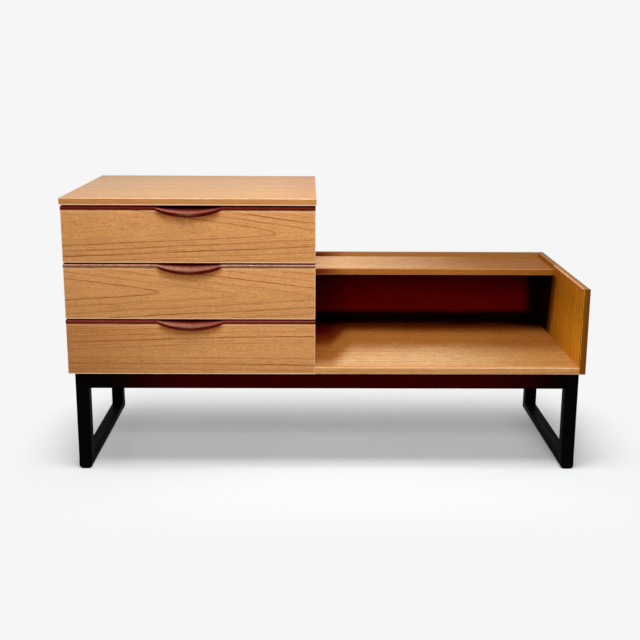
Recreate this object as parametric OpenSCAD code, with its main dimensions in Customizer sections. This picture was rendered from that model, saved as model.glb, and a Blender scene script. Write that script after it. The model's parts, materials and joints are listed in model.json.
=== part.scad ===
// Low hall bench: a chest of three drawers at the left, and an open bay with a set-back shelf.
// Millimetres. X runs along the bench, Y from the front to the back, Z up from the floor.
// The boards are laid out from the chest's left face, the drawer-front plane and the floor,
// and placed() then moves them, so that the origin is below the middle of the whole.

/* [Carcass] */
// Length of the bench, from the chest's left face to the end panel's outer face
unit_w = 1220; // [1050:10:1500]
// Depth of the bench, from the drawer-front plane to the back edge
unit_d = 520; // [450:10:620]
// Width of the chest of drawers
chest_w = 580; // [450:10:700]
// Height of the chest, from the carcass underside to the top surface
chest_h = 414; // [370:2:520]
// Thickness of the carcass boards
board_t = 16; // [14:1:22]
// Overhang of the top panel, past the chest's sides and front
top_over = 2; // [1:0.5:8]
// Thickness of the solid edge lippings
lip_t = 6; // [3:1:10]
// Rounding of the lippings' front edges
arris_r = 1.2; // [0.5:0.1:2]

/* [Open bay] */
// Height of the end panel
end_h = 205; // [160:5:260]
// How far the deck and the end panel stop behind the drawer-front plane
front_step = 2; // [1:0.5:6]
// Distance from the drawer-front plane to the shelf's front edge
shelf_back_off = 318; // [250:2:360]
// Depth of the shelf's surface below the top of the end panel
shelf_drop = 11; // [6:1:30]
// Height of the rail behind the shelf
back_rail_h = 36; // [28:1:60]
// Thickness of the bay's back panel
bay_back_t = 6; // [4:1:9]
// How far the bay's back panel stands in from the face of the rail above it
bay_back_in = 4; // [2:1:6]

/* [Chest back] */
// Thickness of the chest's back panel
back_t = 5; // [3:1:8]
// Width of the rebates that hold the back panel
back_rebate = 8; // [6:1:11]

/* [Drawers] */
// Gap between one front and the next, and under the top panel
front_gap = 3; // [1.5:0.5:4]
// Thickness of the drawer fronts
front_t = 16; // [14:1:20]
// Gap between a shut front and the carcass edges
shut_gap = 0.3; // [0.2:0.1:0.6]
// Gap between a shut drawer's back end and the chest's back panel
drawer_back_gap = 29; // [10:1:60]
// Height of the drawer sides
side_h = 100; // [80:2:106]
// Thickness of the drawer sides
side_t = 12; // [10:1:14]
// Gap between a drawer side and the carcass
side_gap = 1; // [0.6:0.1:1.6]
// Gap between the deck's top level and the lowest drawer side
box_lift = 4; // [3:0.5:8]
// Thickness of the drawer backs
drawer_back_t = 12; // [9:1:15]
// How far a drawer back stays below the top of its sides
drawer_back_drop = 10; // [4:1:20]
// Thickness of the drawer bottoms
bottom_t = 4; // [3:0.5:6]
// Height of a drawer bottom above the lower edge of its sides
bottom_up = 8; // [6:1:12]
// Depth of the grooves that hold the drawer bottoms
bottom_groove = 5; // [3:0.5:6]

/* [Drawer runners] */
// Height of a runner
runner_h = 16; // [12:1:20]
// Depth of the groove in a drawer side
runner_groove = 6; // [4:0.5:7]
// Gap above and below a runner in its groove
run_gap = 0.3; // [0.2:0.1:0.6]
// Gap between a runner's face and the bottom of its groove
run_face_gap = 0.5; // [0.4:0.1:1]
// Height of the groove above the lower edge of the drawer side
groove_up = 42; // [30:1:50]
// Setback of the runners behind the drawer-front plane
runner_start = 20; // [18:1:30]
// Gap between a runner's back end and the chest's back panel
runner_back_gap = 35; // [15:1:60]

/* [Pulls] */
// Height of the hardwood strip along the top of each front
strip_h = 5.5; // [4:0.5:10]
// Length of the carved pull
pull_l = 160; // [120:5:220]
// How far the pull's rim stands out from the front
pull_out = 13.5; // [10:0.5:20]
// How far the pull's foot reaches below the strip
pull_foot = 19; // [8:0.5:24]
// How far the pull's rim lies below the strip's top
pull_rim = 14.5; // [8:0.5:18]
// Width of the pull's rim
pull_rim_w = 2.4; // [1.5:0.1:4]
// Depth of the finger hollow below a straight slope from the pull's rim
pull_dip = 0.8; // [0.3:0.1:3]
// How far the finger hollow cuts back into the strip
pull_hollow = 7; // [4:0.5:10]

/* [Base] */
// Height of the base
base_h = 240; // [180:5:320]
// Setback of the leg loops from the ends of the bench
base_in = 13; // [5:1:40]
// Setback of the leg loops from the drawer-front plane
base_front = 10; // [4:1:30]
// Setback of the leg loops from the back edge
base_rear = 42; // [10:2:80]
// Width of the legs and floor runners, seen from the front
leg_w = 31; // [22:1:40]
// Width of the legs, seen from the side
leg_d = 31; // [22:1:40]
// Rounding of the legs' upright edges
leg_r = 2; // [1:0.5:4]
// Height of the floor runners
sled_h = 22; // [18:1:32]
// Rounding of the floor runners' lower edges
sled_r = 10; // [6:1:11]
// Height of the side bars
side_bar_h = 28; // [22:1:40]
// Height of the front and rear rails
rail_h = 38; // [30:1:60]
// Thickness of the front and rear rails
rail_t = 20; // [16:1:26]
// Length of the corner blocks along the rails
block_l = 50; // [40:1:70]

/* [Fixings] */
// Radius of the dowels
dowel_r = 4; // [3:0.5:4.5]
// Length of a dowel in the board whose face it enters
dowel_short = 10; // [8:0.5:12]
// Length of a dowel in the board whose end it enters
dowel_long = 20; // [15:1:28]
// Radial gap round a dowel or screw
fit_gap = 0.1; // [0.05:0.05:0.2]
// Radius of the screws that hold the base
base_screw_r = 2.25; // [1.5:0.25:3]
// Depth that the base screws reach into the deck
base_screw_in = 12; // [8:0.5:13]
// Radius of the runner and back screws
small_screw_r = 1.5; // [1:0.25:2]
// Depth that a runner screw reaches into a carcass side
runner_screw_in = 10; // [7:0.5:12]
// Depth that a back screw reaches into a carcass side
back_screw_in = 20; // [12:1:30]

/* [Hidden] */
$fn = 48;

// Overrun of every cut past the face it starts from
over = 1;
drawer_count = 3;

// Levels
deck_top = base_h + board_t;
top_under = base_h + chest_h - board_t;
end_top = base_h + end_h;
shelf_top = end_top - shelf_drop;
shelf_under = shelf_top - board_t;
rail_under = end_top - back_rail_h;

// Places along the bench
part_x = chest_w - board_t;
end_x = unit_w - board_t;

// Places front to back
edge_y = front_t + shut_gap;
back_rail_y = unit_d - board_t;

// Middle of the whole, which placed() moves to the origin
mid_x = (unit_w - top_over) / 2;
mid_y = (unit_d - pull_out) / 2;

// Drawers: one pitch is a front with its strip, and the gap above it
pitch = (top_under - base_h) / drawer_count;
front_h = pitch - front_gap;
box_x0 = board_t + side_gap;
box_x1 = part_x - side_gap;
box_up = board_t + box_lift;
drawer_l = unit_d - back_t - drawer_back_gap - front_t;
runner_l = unit_d - back_t - runner_back_gap - runner_start;
groove_h = runner_h + 2 * run_gap;
runner_t = side_gap + runner_groove - run_face_gap;

// Base
loop_y1 = unit_d - base_rear;
loop_l = loop_y1 - base_front;
rear_leg_y = loop_y1 - leg_d;
bar_z = base_h - side_bar_h;
rail_z = base_h - rail_h;
left_loop_x = base_in;
right_loop_x = unit_w - base_in - leg_w;
block_hole_share = 0.3;
block_hole = block_l * block_hole_share;

// Dowel and screw rows, as shares of the length that they are spread along
dowel_shares = [0.15, 0.5, 0.85];
shelf_dowel_shares = [0.25, 0.75];
runner_screw_shares = [0.08, 0.5, 0.92];
back_screw_shares = [0.08, 0.36, 0.64, 0.92];
bar_screw_shares = [0.3, 0.7];

teak = "#c88f58";
teak_dark = "#8c5014";
teak_front = "#cc9660";
rosewood = "#4a1c14";
mahogany = "#3c0f0a";
ebonised = "#161312";
beech = "#d9b888";
plywood = "#c9a878";
brass = "#b08d4a";
steel = "#9a9a9a";

function drawer_z(k) = base_h + k * pitch;
function along(y0, y1, shares) = [for (s = shares) y0 + s * (y1 - y0)];

deck_dowel_ys = along(edge_y, unit_d, dowel_shares);
shelf_dowel_ys = along(shelf_back_off + lip_t, back_rail_y, shelf_dowel_shares);
runner_screw_ys = along(runner_start, runner_start + runner_l, runner_screw_shares);
back_screw_zs = along(deck_top, top_under, back_screw_shares);
bar_screw_ys = along(base_front, loop_y1, bar_screw_shares);
block_screw_ys = [base_front + rail_t + block_hole, loop_y1 - rail_t - block_hole];

module placed() {
    translate([-mid_x, -mid_y, 0])
        children();
}

// A board between two corners
module board(low, high) {
    translate(low)
        cube(high - low);
}

// A round bar or bore, from a point along X, Y or Z
module round_bar(at, axis, length, r) {
    turn = axis == "x" ? [0, 90, 0] : axis == "y" ? [-90, 0, 0] : [0, 0, 0];
    translate(at)
        rotate(turn)
            cylinder(r = r, h = length);
}

// A bar along X with its two front edges rounded
module lipping(low, high, r = arris_r) {
    depth = high[1] - low[1];
    tall = high[2] - low[2];
    translate(low)
        rotate([90, 0, 90])
            linear_extrude(height = high[0] - low[0])
                union() {
                    translate([r, 0])
                        square([depth - r, tall]);
                    translate([0, r])
                        square([depth, tall - 2 * r]);
                    for (z = [r, tall - r])
                        translate([r, z])
                            circle(r = r);
                }
}

// Rounded oblong outline, its corner at the origin
module rounded_outline(w, d, r) {
    translate([r, 0])
        square([w - 2 * r, d]);
    translate([0, r])
        square([w, d - 2 * r]);
    for (x = [r, w - r], y = [r, d - r])
        translate([x, y])
            circle(r = r);
}

// Countersunk wood screw along +Z, its head's face at the origin. With a gap it is the
// screw's bore, which also clears the head's mouth
module screw(length, r, gap = 0) {
    union() {
        cylinder(r = r + gap, h = length + gap);
        cylinder(r1 = 2 * r + gap, r2 = r + gap, h = r);
        if (gap > 0)
            translate([0, 0, -over])
                cylinder(r = 2 * r + gap, h = over);
    }
}

module screw_x(at, toward, length, r, gap = 0) {
    translate(at)
        rotate([0, toward * 90, 0])
            screw(length, r, gap);
}

module screw_to_front(at, length, r, gap = 0) {
    translate(at)
        rotate([90, 0, 0])
            screw(length, r, gap);
}

// Dowels and their bores share these rows. The gap is zero for the dowels themselves
module top_dowels(gap = 0) {
    for (x = [board_t / 2, part_x + board_t / 2], y = deck_dowel_ys)
        round_bar([x, y, top_under - dowel_long - gap], "z", dowel_long + dowel_short + 2 * gap,
            dowel_r + gap);
}

module partition_dowels(gap = 0) {
    for (y = deck_dowel_ys)
        round_bar([part_x + board_t / 2, y, deck_top - dowel_short - gap], "z",
            dowel_long + dowel_short + 2 * gap, dowel_r + gap);
}

module deck_end_dowels(gap = 0) {
    for (x = [board_t - dowel_short, end_x - dowel_long], y = deck_dowel_ys)
        round_bar([x - gap, y, base_h + board_t / 2], "x", dowel_long + dowel_short + 2 * gap,
            dowel_r + gap);
}

module shelf_end_dowels(gap = 0) {
    for (x = [chest_w - dowel_short, end_x - dowel_long], y = shelf_dowel_ys)
        round_bar([x - gap, y, shelf_under + board_t / 2], "x", dowel_long + dowel_short + 2 * gap,
            dowel_r + gap);
}

module base_screw_row(gap = 0) {
    xs_bar = [left_loop_x + leg_w / 2, right_loop_x + leg_w / 2];
    xs_block = [left_loop_x + leg_w + block_hole, right_loop_x - block_hole];
    for (x = xs_bar, y = bar_screw_ys)
        translate([x, y, bar_z])
            screw(side_bar_h + base_screw_in, base_screw_r, gap);
    for (x = xs_block, y = block_screw_ys)
        translate([x, y, bar_z])
            screw(side_bar_h + base_screw_in, base_screw_r, gap);
}

module runner_screw_row(gap = 0) {
    for (k = [0 : drawer_count - 1], y = runner_screw_ys) {
        z = drawer_z(k) + box_up + groove_up + groove_h / 2;
        screw_x([board_t + runner_t, y, z], -1, runner_t + runner_screw_in, small_screw_r, gap);
        screw_x([part_x - runner_t, y, z], 1, runner_t + runner_screw_in, small_screw_r, gap);
    }
}

module back_screw_row(gap = 0) {
    for (x = [board_t - back_rebate / 2, part_x + back_rebate / 2], z = back_screw_zs)
        screw_to_front([x, unit_d, z], back_t + back_screw_in, small_screw_r, gap);
}

module top_panel() {
    color(teak)
        placed()
            difference() {
                board([-top_over, lip_t - top_over, top_under],
                    [chest_w + top_over, unit_d, top_under + board_t]);
                top_dowels(fit_gap);
            }
}

module top_lipping() {
    color(teak)
        placed()
            lipping([-top_over, -top_over, top_under],
                [chest_w + top_over, lip_t - top_over, top_under + board_t]);
}

module chest_side_left() {
    color(teak)
        placed()
            difference() {
                board([0, edge_y, base_h], [board_t, unit_d, top_under]);
                board([board_t - back_rebate, unit_d - back_t, deck_top],
                    [board_t + over, unit_d + over, top_under + over]);
                top_dowels(fit_gap);
                deck_end_dowels(fit_gap);
                runner_screw_row(fit_gap);
                back_screw_row(fit_gap);
            }
}

module chest_side_right() {
    color(teak)
        placed()
            difference() {
                board([part_x, edge_y, deck_top], [chest_w, unit_d, top_under]);
                board([part_x - over, unit_d - back_t, deck_top - over],
                    [part_x + back_rebate, unit_d + over, top_under + over]);
                top_dowels(fit_gap);
                partition_dowels(fit_gap);
                shelf_end_dowels(fit_gap);
                runner_screw_row(fit_gap);
                back_screw_row(fit_gap);
            }
}

module deck_panel() {
    color(teak)
        placed()
            difference() {
                board([board_t, edge_y, base_h], [end_x, unit_d, deck_top]);
                deck_end_dowels(fit_gap);
                partition_dowels(fit_gap);
                base_screw_row(fit_gap);
            }
}

module deck_lipping() {
    color(teak)
        placed()
            lipping([chest_w, front_step, base_h], [end_x, edge_y, deck_top]);
}

module end_panel() {
    color(teak)
        placed()
            difference() {
                board([end_x, front_step + lip_t, base_h], [unit_w, unit_d, end_top - lip_t]);
                deck_end_dowels(fit_gap);
                shelf_end_dowels(fit_gap);
            }
}

// The front lipping stands upright, with both front edges rounded
module end_panel_lipping() {
    color(teak_dark)
        placed()
            translate([end_x, front_step, base_h])
                linear_extrude(height = end_h) {
                    translate([arris_r, 0])
                        square([board_t - 2 * arris_r, lip_t]);
                    translate([0, arris_r])
                        square([board_t, lip_t - arris_r]);
                    for (x = [arris_r, board_t - arris_r])
                        translate([x, arris_r])
                            circle(r = arris_r);
                }
}

// One length of the end panel's top lipping, with both upper edges rounded
module end_top_length(y0, y1) {
    translate([end_x, y1, end_top - lip_t])
        rotate([90, 0, 0])
            linear_extrude(height = y1 - y0) {
                translate([arris_r, 0])
                    square([board_t - 2 * arris_r, lip_t]);
                square([board_t, lip_t - arris_r]);
                for (x = [arris_r, board_t - arris_r])
                    translate([x, lip_t - arris_r])
                        circle(r = arris_r);
            }
}

module end_top_lipping_front() {
    color(teak)
        placed()
            end_top_length(front_step + lip_t, shelf_back_off);
}

module end_top_lipping_rear() {
    color(teak_dark)
        placed()
            end_top_length(shelf_back_off, unit_d);
}

module shelf_panel() {
    color(teak)
        placed()
            difference() {
                board([chest_w, shelf_back_off + lip_t, shelf_under], [end_x, back_rail_y, shelf_top]);
                shelf_end_dowels(fit_gap);
            }
}

module shelf_lipping() {
    color(teak)
        placed()
            lipping([chest_w, shelf_back_off, shelf_under], [end_x, shelf_back_off + lip_t, shelf_top]);
}

module shelf_back_rail() {
    color(teak_dark)
        placed()
            lipping([chest_w, back_rail_y, rail_under], [end_x, unit_d, end_top]);
}

module bay_back_panel() {
    color(mahogany)
        placed()
            board([chest_w, back_rail_y + bay_back_in, deck_top],
                [end_x, back_rail_y + bay_back_in + bay_back_t, rail_under]);
}

module chest_back_panel() {
    color(plywood)
        placed()
            difference() {
                board([board_t - back_rebate, unit_d - back_t, deck_top],
                    [part_x + back_rebate, unit_d, top_under]);
                back_screw_row(fit_gap);
            }
}

module back_screws() {
    color(steel)
        placed()
            back_screw_row();
}

module carcass_dowels() {
    color(beech)
        placed() {
            top_dowels();
            partition_dowels();
            deck_end_dowels();
            shelf_end_dowels();
        }
}

// A runner on a carcass side. hand is -1 at the left and 1 at the right
module runner(k, hand) {
    x0 = hand < 0 ? board_t : part_x - runner_t;
    z0 = drawer_z(k) + box_up + groove_up + run_gap;
    color(beech)
        placed()
            difference() {
                board([x0, runner_start, z0], [x0 + runner_t, runner_start + runner_l, z0 + runner_h]);
                runner_screw_row(fit_gap);
            }
}

module runner_screws() {
    color(brass)
        placed()
            runner_screw_row();
}

module drawer_front(k) {
    z0 = drawer_z(k);
    groove_z = z0 + box_up + bottom_up;
    color(teak_front)
        placed()
            difference() {
                board([0, 0, z0], [chest_w, front_t, z0 + front_h - strip_h]);
                board([box_x0 + side_t - bottom_groove, front_t - bottom_groove, groove_z],
                    [box_x1 - side_t + bottom_groove, front_t + over, groove_z + bottom_t]);
            }
}

// A drawer side, grooved outside for its runner and inside for the bottom
module drawer_side(k, hand) {
    x0 = hand < 0 ? box_x0 : box_x1 - side_t;
    z0 = drawer_z(k) + box_up;
    outer_x = hand < 0 ? x0 - over : x0 + side_t - runner_groove;
    inner_x = hand < 0 ? x0 + side_t - bottom_groove : x0 - over;
    y1 = front_t + drawer_l;
    color(beech)
        placed()
            difference() {
                board([x0, front_t, z0], [x0 + side_t, y1, z0 + side_h]);
                board([outer_x, front_t - over, z0 + groove_up],
                    [outer_x + runner_groove + over, y1 + over, z0 + groove_up + groove_h]);
                board([inner_x, front_t - over, z0 + bottom_up],
                    [inner_x + bottom_groove + over, y1 + over, z0 + bottom_up + bottom_t]);
            }
}

module drawer_back(k) {
    z0 = drawer_z(k) + box_up;
    y1 = front_t + drawer_l;
    color(beech)
        placed()
            board([box_x0 + side_t, y1 - drawer_back_t, z0 + bottom_up + bottom_t],
                [box_x1 - side_t, y1, z0 + side_h - drawer_back_drop]);
}

module drawer_base(k) {
    z0 = drawer_z(k) + box_up + bottom_up;
    color(plywood)
        placed()
            board([box_x0 + side_t - bottom_groove, front_t - bottom_groove, z0],
                [box_x1 - side_t + bottom_groove, front_t + drawer_l, z0 + bottom_t]);
}

// The pull swells along the strip: its swell is 1 in the middle and stays at a small share
// along the strip, which slopes the strip's top edge and stands it just proud of the front
strip_share = 0.14;
pull_power_share = 0.8;
// The underside is round at a power of 1 and straight at a power of 2
under_power_share = 1.4;
pull_stations = 28;
under_steps = 6;
hollow_steps = 7;

function swell(t) = max(pow(max(1 - t * t, 0), pull_power_share), strip_share);

// Outline of the pull across its length, as front-to-back and upward distances
function pull_outline(h) = concat(
    [[front_t, 0], [front_t, -strip_h], [0, -strip_h]],
    [for (i = [0 : under_steps])
        let (a = 90 * i / under_steps, b = strip_h + (pull_foot - pull_rim) * h)
            [-pull_out * h * pow(sin(a), under_power_share),
                -pull_rim * h - b * pow(cos(a), under_power_share)]],
    [for (i = [0 : hollow_steps])
        let (u = i / hollow_steps, y0 = pull_rim_w - pull_out)
            [h * (y0 + u * (pull_hollow - y0)), -h * (pull_rim * (1 - u) + pull_dip * sin(180 * u))]]
);

module drawer_pull(k) {
    swell_xs = [for (i = [0 : pull_stations]) pull_l * (i / pull_stations - 1 / 2)];
    xs = concat([-chest_w / 2], swell_xs, [chest_w / 2]);
    outlines = [for (x = xs) pull_outline(swell(2 * x / pull_l))];
    n = len(outlines[0]);
    last = len(xs) - 1;
    points = [for (i = [0 : last]) for (p = outlines[i]) [xs[i], p[0], p[1]]];
    skin = [for (i = [0 : last - 1]) for (j = [0 : n - 1])
        let (a = i * n + j, b = i * n + (j + 1) % n) each [[a, b, b + n], [a, b + n, a + n]]];
    ends = [[for (j = [n - 1 : -1 : 0]) j], [for (j = [0 : n - 1]) last * n + j]];
    color(rosewood)
        placed()
            translate([chest_w / 2, 0, drawer_z(k) + front_h])
                polyhedron(points = points, faces = concat(skin, ends));
}

module leg(x0, y0) {
    color(ebonised)
        placed()
            difference() {
                translate([x0, y0, sled_h])
                    linear_extrude(height = base_h - sled_h)
                        rounded_outline(leg_w, leg_d, leg_r);
                base_dowel_row(fit_gap);
            }
}

// A floor runner, flat below, with its lower edges well rounded
module sled(x0) {
    color(ebonised)
        placed()
            difference() {
                translate([x0, loop_y1, 0])
                    rotate([90, 0, 0])
                        linear_extrude(height = loop_l) {
                            translate([sled_r, 0])
                                square([leg_w - 2 * sled_r, sled_h]);
                            translate([0, sled_r])
                                square([leg_w, sled_h - sled_r]);
                            for (x = [sled_r, leg_w - sled_r])
                                translate([x, sled_r])
                                    circle(r = sled_r);
                        }
                base_dowel_row(fit_gap);
            }
}

module side_bar(x0) {
    color(ebonised)
        placed()
            difference() {
                board([x0, base_front + leg_d, bar_z], [x0 + leg_w, rear_leg_y, base_h]);
                base_dowel_row(fit_gap);
                base_screw_row(fit_gap);
            }
}

module cross_rail(y0) {
    color(mahogany)
        placed()
            difference() {
                board([left_loop_x + leg_w, y0, rail_z], [right_loop_x, y0 + rail_t, base_h]);
                base_dowel_row(fit_gap);
            }
}

// A three-cornered block in the angle at (x, y). dx and dy give the way it points
module corner_block(x, y, dx, dy) {
    translate([x, y, bar_z])
        linear_extrude(height = side_bar_h)
            polygon([[0, 0], [dx * block_l, 0], [0, dy * block_l]]);
}

module corner_blocks() {
    x0 = left_loop_x + leg_w;
    y0 = base_front + rail_t;
    y1 = loop_y1 - rail_t;
    color(beech)
        placed()
            difference() {
                union() {
                    corner_block(x0, y0, 1, 1);
                    corner_block(right_loop_x, y0, -1, 1);
                    corner_block(x0, y1, 1, -1);
                    corner_block(right_loop_x, y1, -1, -1);
                }
                base_screw_row(fit_gap);
            }
}

// Dowels of the base: sled to leg, side bar to leg, and rail to leg low down
module base_dowel_row(gap = 0) {
    long = dowel_long + dowel_short + 2 * gap;
    r = dowel_r + gap;
    rail_dowel_z = rail_z + 2 * dowel_r;
    for (x = [left_loop_x + leg_w / 2, right_loop_x + leg_w / 2]) {
        for (y = [base_front + leg_d / 2, rear_leg_y + leg_d / 2])
            round_bar([x, y, sled_h - dowel_short - gap], "z", long, r);
        for (y = [base_front + leg_d - dowel_short, rear_leg_y - dowel_long])
            round_bar([x, y - gap, bar_z + side_bar_h / 2], "y", long, r);
    }
    for (x = [left_loop_x + leg_w - dowel_short, right_loop_x - dowel_long])
        for (y = [base_front + rail_t / 2, loop_y1 - rail_t / 2])
            round_bar([x - gap, y, rail_dowel_z], "x", long, r);
}

module base_dowels() {
    color(beech)
        placed()
            base_dowel_row();
}

module base_screws() {
    color(steel)
        placed()
            base_screw_row();
}

top_panel();
top_lipping();
chest_side_left();
chest_side_right();
deck_panel();
deck_lipping();
end_panel();
end_panel_lipping();
end_top_lipping_front();
end_top_lipping_rear();
shelf_panel();
shelf_lipping();
shelf_back_rail();
bay_back_panel();
chest_back_panel();
back_screws();
carcass_dowels();
runner(0, -1);  // runner_left_bottom
runner(1, -1);  // runner_left_middle
runner(2, -1);  // runner_left_top
runner(0, 1);  // runner_right_bottom
runner(1, 1);  // runner_right_middle
runner(2, 1);  // runner_right_top
runner_screws();
drawer_front(0);  // bottom_drawer_front
drawer_pull(0);  // bottom_drawer_pull
drawer_side(0, -1);  // bottom_drawer_side_left
drawer_side(0, 1);  // bottom_drawer_side_right
drawer_back(0);  // bottom_drawer_back
drawer_base(0);  // bottom_drawer_base
drawer_front(1);  // middle_drawer_front
drawer_pull(1);  // middle_drawer_pull
drawer_side(1, -1);  // middle_drawer_side_left
drawer_side(1, 1);  // middle_drawer_side_right
drawer_back(1);  // middle_drawer_back
drawer_base(1);  // middle_drawer_base
drawer_front(2);  // top_drawer_front
drawer_pull(2);  // top_drawer_pull
drawer_side(2, -1);  // top_drawer_side_left
drawer_side(2, 1);  // top_drawer_side_right
drawer_back(2);  // top_drawer_back
drawer_base(2);  // top_drawer_base
leg(left_loop_x, base_front);  // leg_front_left
leg(right_loop_x, base_front);  // leg_front_right
leg(left_loop_x, rear_leg_y);  // leg_rear_left
leg(right_loop_x, rear_leg_y);  // leg_rear_right
sled(left_loop_x);  // sled_left
sled(right_loop_x);  // sled_right
side_bar(left_loop_x);  // side_bar_left
side_bar(right_loop_x);  // side_bar_right
cross_rail(base_front);  // front_rail
cross_rail(loop_y1 - rail_t);  // rear_rail
corner_blocks();
base_dowels();
base_screws();
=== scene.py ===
import json
import math

import bmesh
import bpy
from mathutils import Matrix, Vector

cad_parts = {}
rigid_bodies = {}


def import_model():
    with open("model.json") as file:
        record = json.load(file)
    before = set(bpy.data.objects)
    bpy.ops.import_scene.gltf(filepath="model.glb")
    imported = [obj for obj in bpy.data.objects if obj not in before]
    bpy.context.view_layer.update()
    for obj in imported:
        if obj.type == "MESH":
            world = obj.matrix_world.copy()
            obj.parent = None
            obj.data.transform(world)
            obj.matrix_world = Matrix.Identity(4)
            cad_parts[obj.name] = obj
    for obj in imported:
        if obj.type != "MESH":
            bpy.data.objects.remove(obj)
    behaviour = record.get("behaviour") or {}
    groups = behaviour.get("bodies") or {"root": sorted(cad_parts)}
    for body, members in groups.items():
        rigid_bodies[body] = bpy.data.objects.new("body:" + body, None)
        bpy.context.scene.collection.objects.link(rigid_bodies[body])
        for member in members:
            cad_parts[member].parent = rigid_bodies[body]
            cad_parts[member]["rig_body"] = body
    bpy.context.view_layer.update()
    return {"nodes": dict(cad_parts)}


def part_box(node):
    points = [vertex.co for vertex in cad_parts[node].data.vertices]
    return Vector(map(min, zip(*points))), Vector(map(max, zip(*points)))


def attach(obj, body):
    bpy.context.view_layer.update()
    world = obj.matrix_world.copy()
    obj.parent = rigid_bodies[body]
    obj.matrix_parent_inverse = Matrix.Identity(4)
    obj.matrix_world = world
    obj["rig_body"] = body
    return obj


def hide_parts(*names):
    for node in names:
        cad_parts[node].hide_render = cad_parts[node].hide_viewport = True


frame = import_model()

MM = 0.001

# Sizes of the pulls, as in the CAD
CHEST_W, FRONT_T, STRIP_H = 580 * MM, 16 * MM, 5.5 * MM
PULL_L, PULL_OUT, PULL_FOOT, PULL_RIM = 160 * MM, 13.5 * MM, 19 * MM, 14.5 * MM
PULL_RIM_W, PULL_DIP, PULL_HOLLOW = 2.4 * MM, 0.8 * MM, 7 * MM
# Their form: the strip as a share of the full lip, and the powers of the curves
STRIP_SHARE, SWELL_POWER, UNDER_POWER = 0.14, 0.8, 1.4
PULL_STATIONS, UNDER_STEPS, HOLLOW_STEPS = 96, 14, 12
# Where their pale wear and painted light fade, and how fast the hollow's painted shade grows, as
# shares of the hollow's depth
WEAR_AND_LIGHT_FADE, HOLLOW_SHADE_FADE, RIM_SHARE = 0.35, 0.15, 0.3
# How far the nose is rubbed, as a share of half the length, and how much the grip's pale wear and
# painted light fall from the middle to the right
NOSE_REACH, GRIP_FADE = 0.22, 0.45
# How dark the rim stays, and how fast the strip's wear and painted shade give way to the grip's
RIM_DARK, GRIP_GROWTH = 0.3, 4
# How closely the pale wear and painted light of the underside, and the wear of the nose, keep to what
# stands out
UNDER_WEAR_AND_LIGHT_POWER, NOSE_WEAR_POWER = 6, 3

# Places that the looks need
END_INNER_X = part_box("end_panel")[0].x
SHELF_UNDER_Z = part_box("shelf_panel")[0].z
SHELF_FRONT_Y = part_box("shelf_lipping")[0].y
DECK_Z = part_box("deck_panel")[1].z
TOP_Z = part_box("top_panel")[1].z
SHELF_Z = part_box("shelf_panel")[1].z
TOP_LIP_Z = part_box("top_lipping")[0].z
BACK_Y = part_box("bay_back_panel")[0].y

# Camera
IMAGE_SIZE = 640
SENSOR = 36.0
FOCAL_PIXELS = 1053.81
CAMERA_AT = Vector((-0.04432, -2.6403, 0.94067))
PITCH_DOWN = math.radians(13.405)
YAW = math.radians(0.634)
ROLL = math.radians(0.293)
NEAREST, FARTHEST = 0.05, 50.0


def add_camera():
    cp, sp = math.cos(PITCH_DOWN), math.sin(PITCH_DOWN)
    cy, sy = math.cos(YAW), math.sin(YAW)
    ahead = Vector((cp * sy, cp * cy, -sp))
    right = Vector((cy, -sy, 0.0))
    up = Vector((sp * sy, sp * cy, cp))
    right_rolled = math.cos(ROLL) * right + math.sin(ROLL) * up
    up_rolled = math.cos(ROLL) * up - math.sin(ROLL) * right
    turn = Matrix((right_rolled, up_rolled, -ahead)).transposed()
    data = bpy.data.cameras.new("camera")
    data.sensor_width = SENSOR
    data.lens = FOCAL_PIXELS * SENSOR / IMAGE_SIZE
    data.clip_start, data.clip_end = NEAREST, FARTHEST
    camera = bpy.data.objects.new("camera", data)
    bpy.context.scene.collection.objects.link(camera)
    camera.matrix_world = Matrix.Translation(CAMERA_AT) @ turn.to_4x4()
    bpy.context.scene.camera = camera


add_camera()


# Colours
def linear(value):
    """A colour channel from 0 to 255, as the renderer's linear value."""
    c = value / 255.0
    return c / 12.92 if c <= 0.04045 else ((c + 0.055) / 1.055) ** 2.4


def rgb(r, g, b):
    return (linear(r), linear(g), linear(b), 1.0)


# Node webs
MIX_SHARE, MIX_FIRST, MIX_SECOND, MIX_RESULT = 0, 6, 7, 2
GRAIN_DEPTH = 0.0004


class Web:
    """The nodes of a material or of the world, with short calls for the few kinds in use."""

    def __init__(self, owner):
        owner.use_nodes = True
        self.owner = owner
        self.tree = owner.node_tree
        self.tree.nodes.clear()

    def add(self, kind, inputs=None, **settings):
        node = self.tree.nodes.new("ShaderNode" + kind)
        for key, value in settings.items():
            setattr(node, key, value)
        for key, value in (inputs or {}).items():
            if isinstance(value, bpy.types.NodeSocket):
                self.tree.links.new(value, node.inputs[key])
            else:
                node.inputs[key].default_value = value
        return node

    def math(self, operation, first, second=0.0):
        return self.add("Math", {0: first, 1: second}, operation=operation).outputs[0]

    def times(self, first, second):
        return self.math("MULTIPLY", first, second)

    def plus(self, first, second):
        return self.math("ADD", first, second)

    def step(self, value, low, high, to_low=0.0, to_high=1.0):
        """A smooth step of value, from to_low at low to to_high at high."""
        keys = {"Value": value, "From Min": low, "From Max": high}
        keys.update({"To Min": to_low, "To Max": to_high})
        return self.add("MapRange", keys, interpolation_type="SMOOTHSTEP").outputs["Result"]

    def vector(self, x, y, z):
        return self.add("CombineXYZ", {"X": x, "Y": y, "Z": z}).outputs["Vector"]

    def noise(self, vector, scale, detail=2.0, rough=0.5):
        keys = {"Vector": vector, "Scale": scale, "Detail": detail, "Roughness": rough}
        return self.add("TexNoise", keys).outputs["Fac"]

    def blend(self, share, first, second, kind="MIX"):
        keys = {MIX_SHARE: share, MIX_FIRST: first, MIX_SECOND: second}
        return self.add("Mix", keys, data_type="RGBA", blend_type=kind).outputs[MIX_RESULT]


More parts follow.
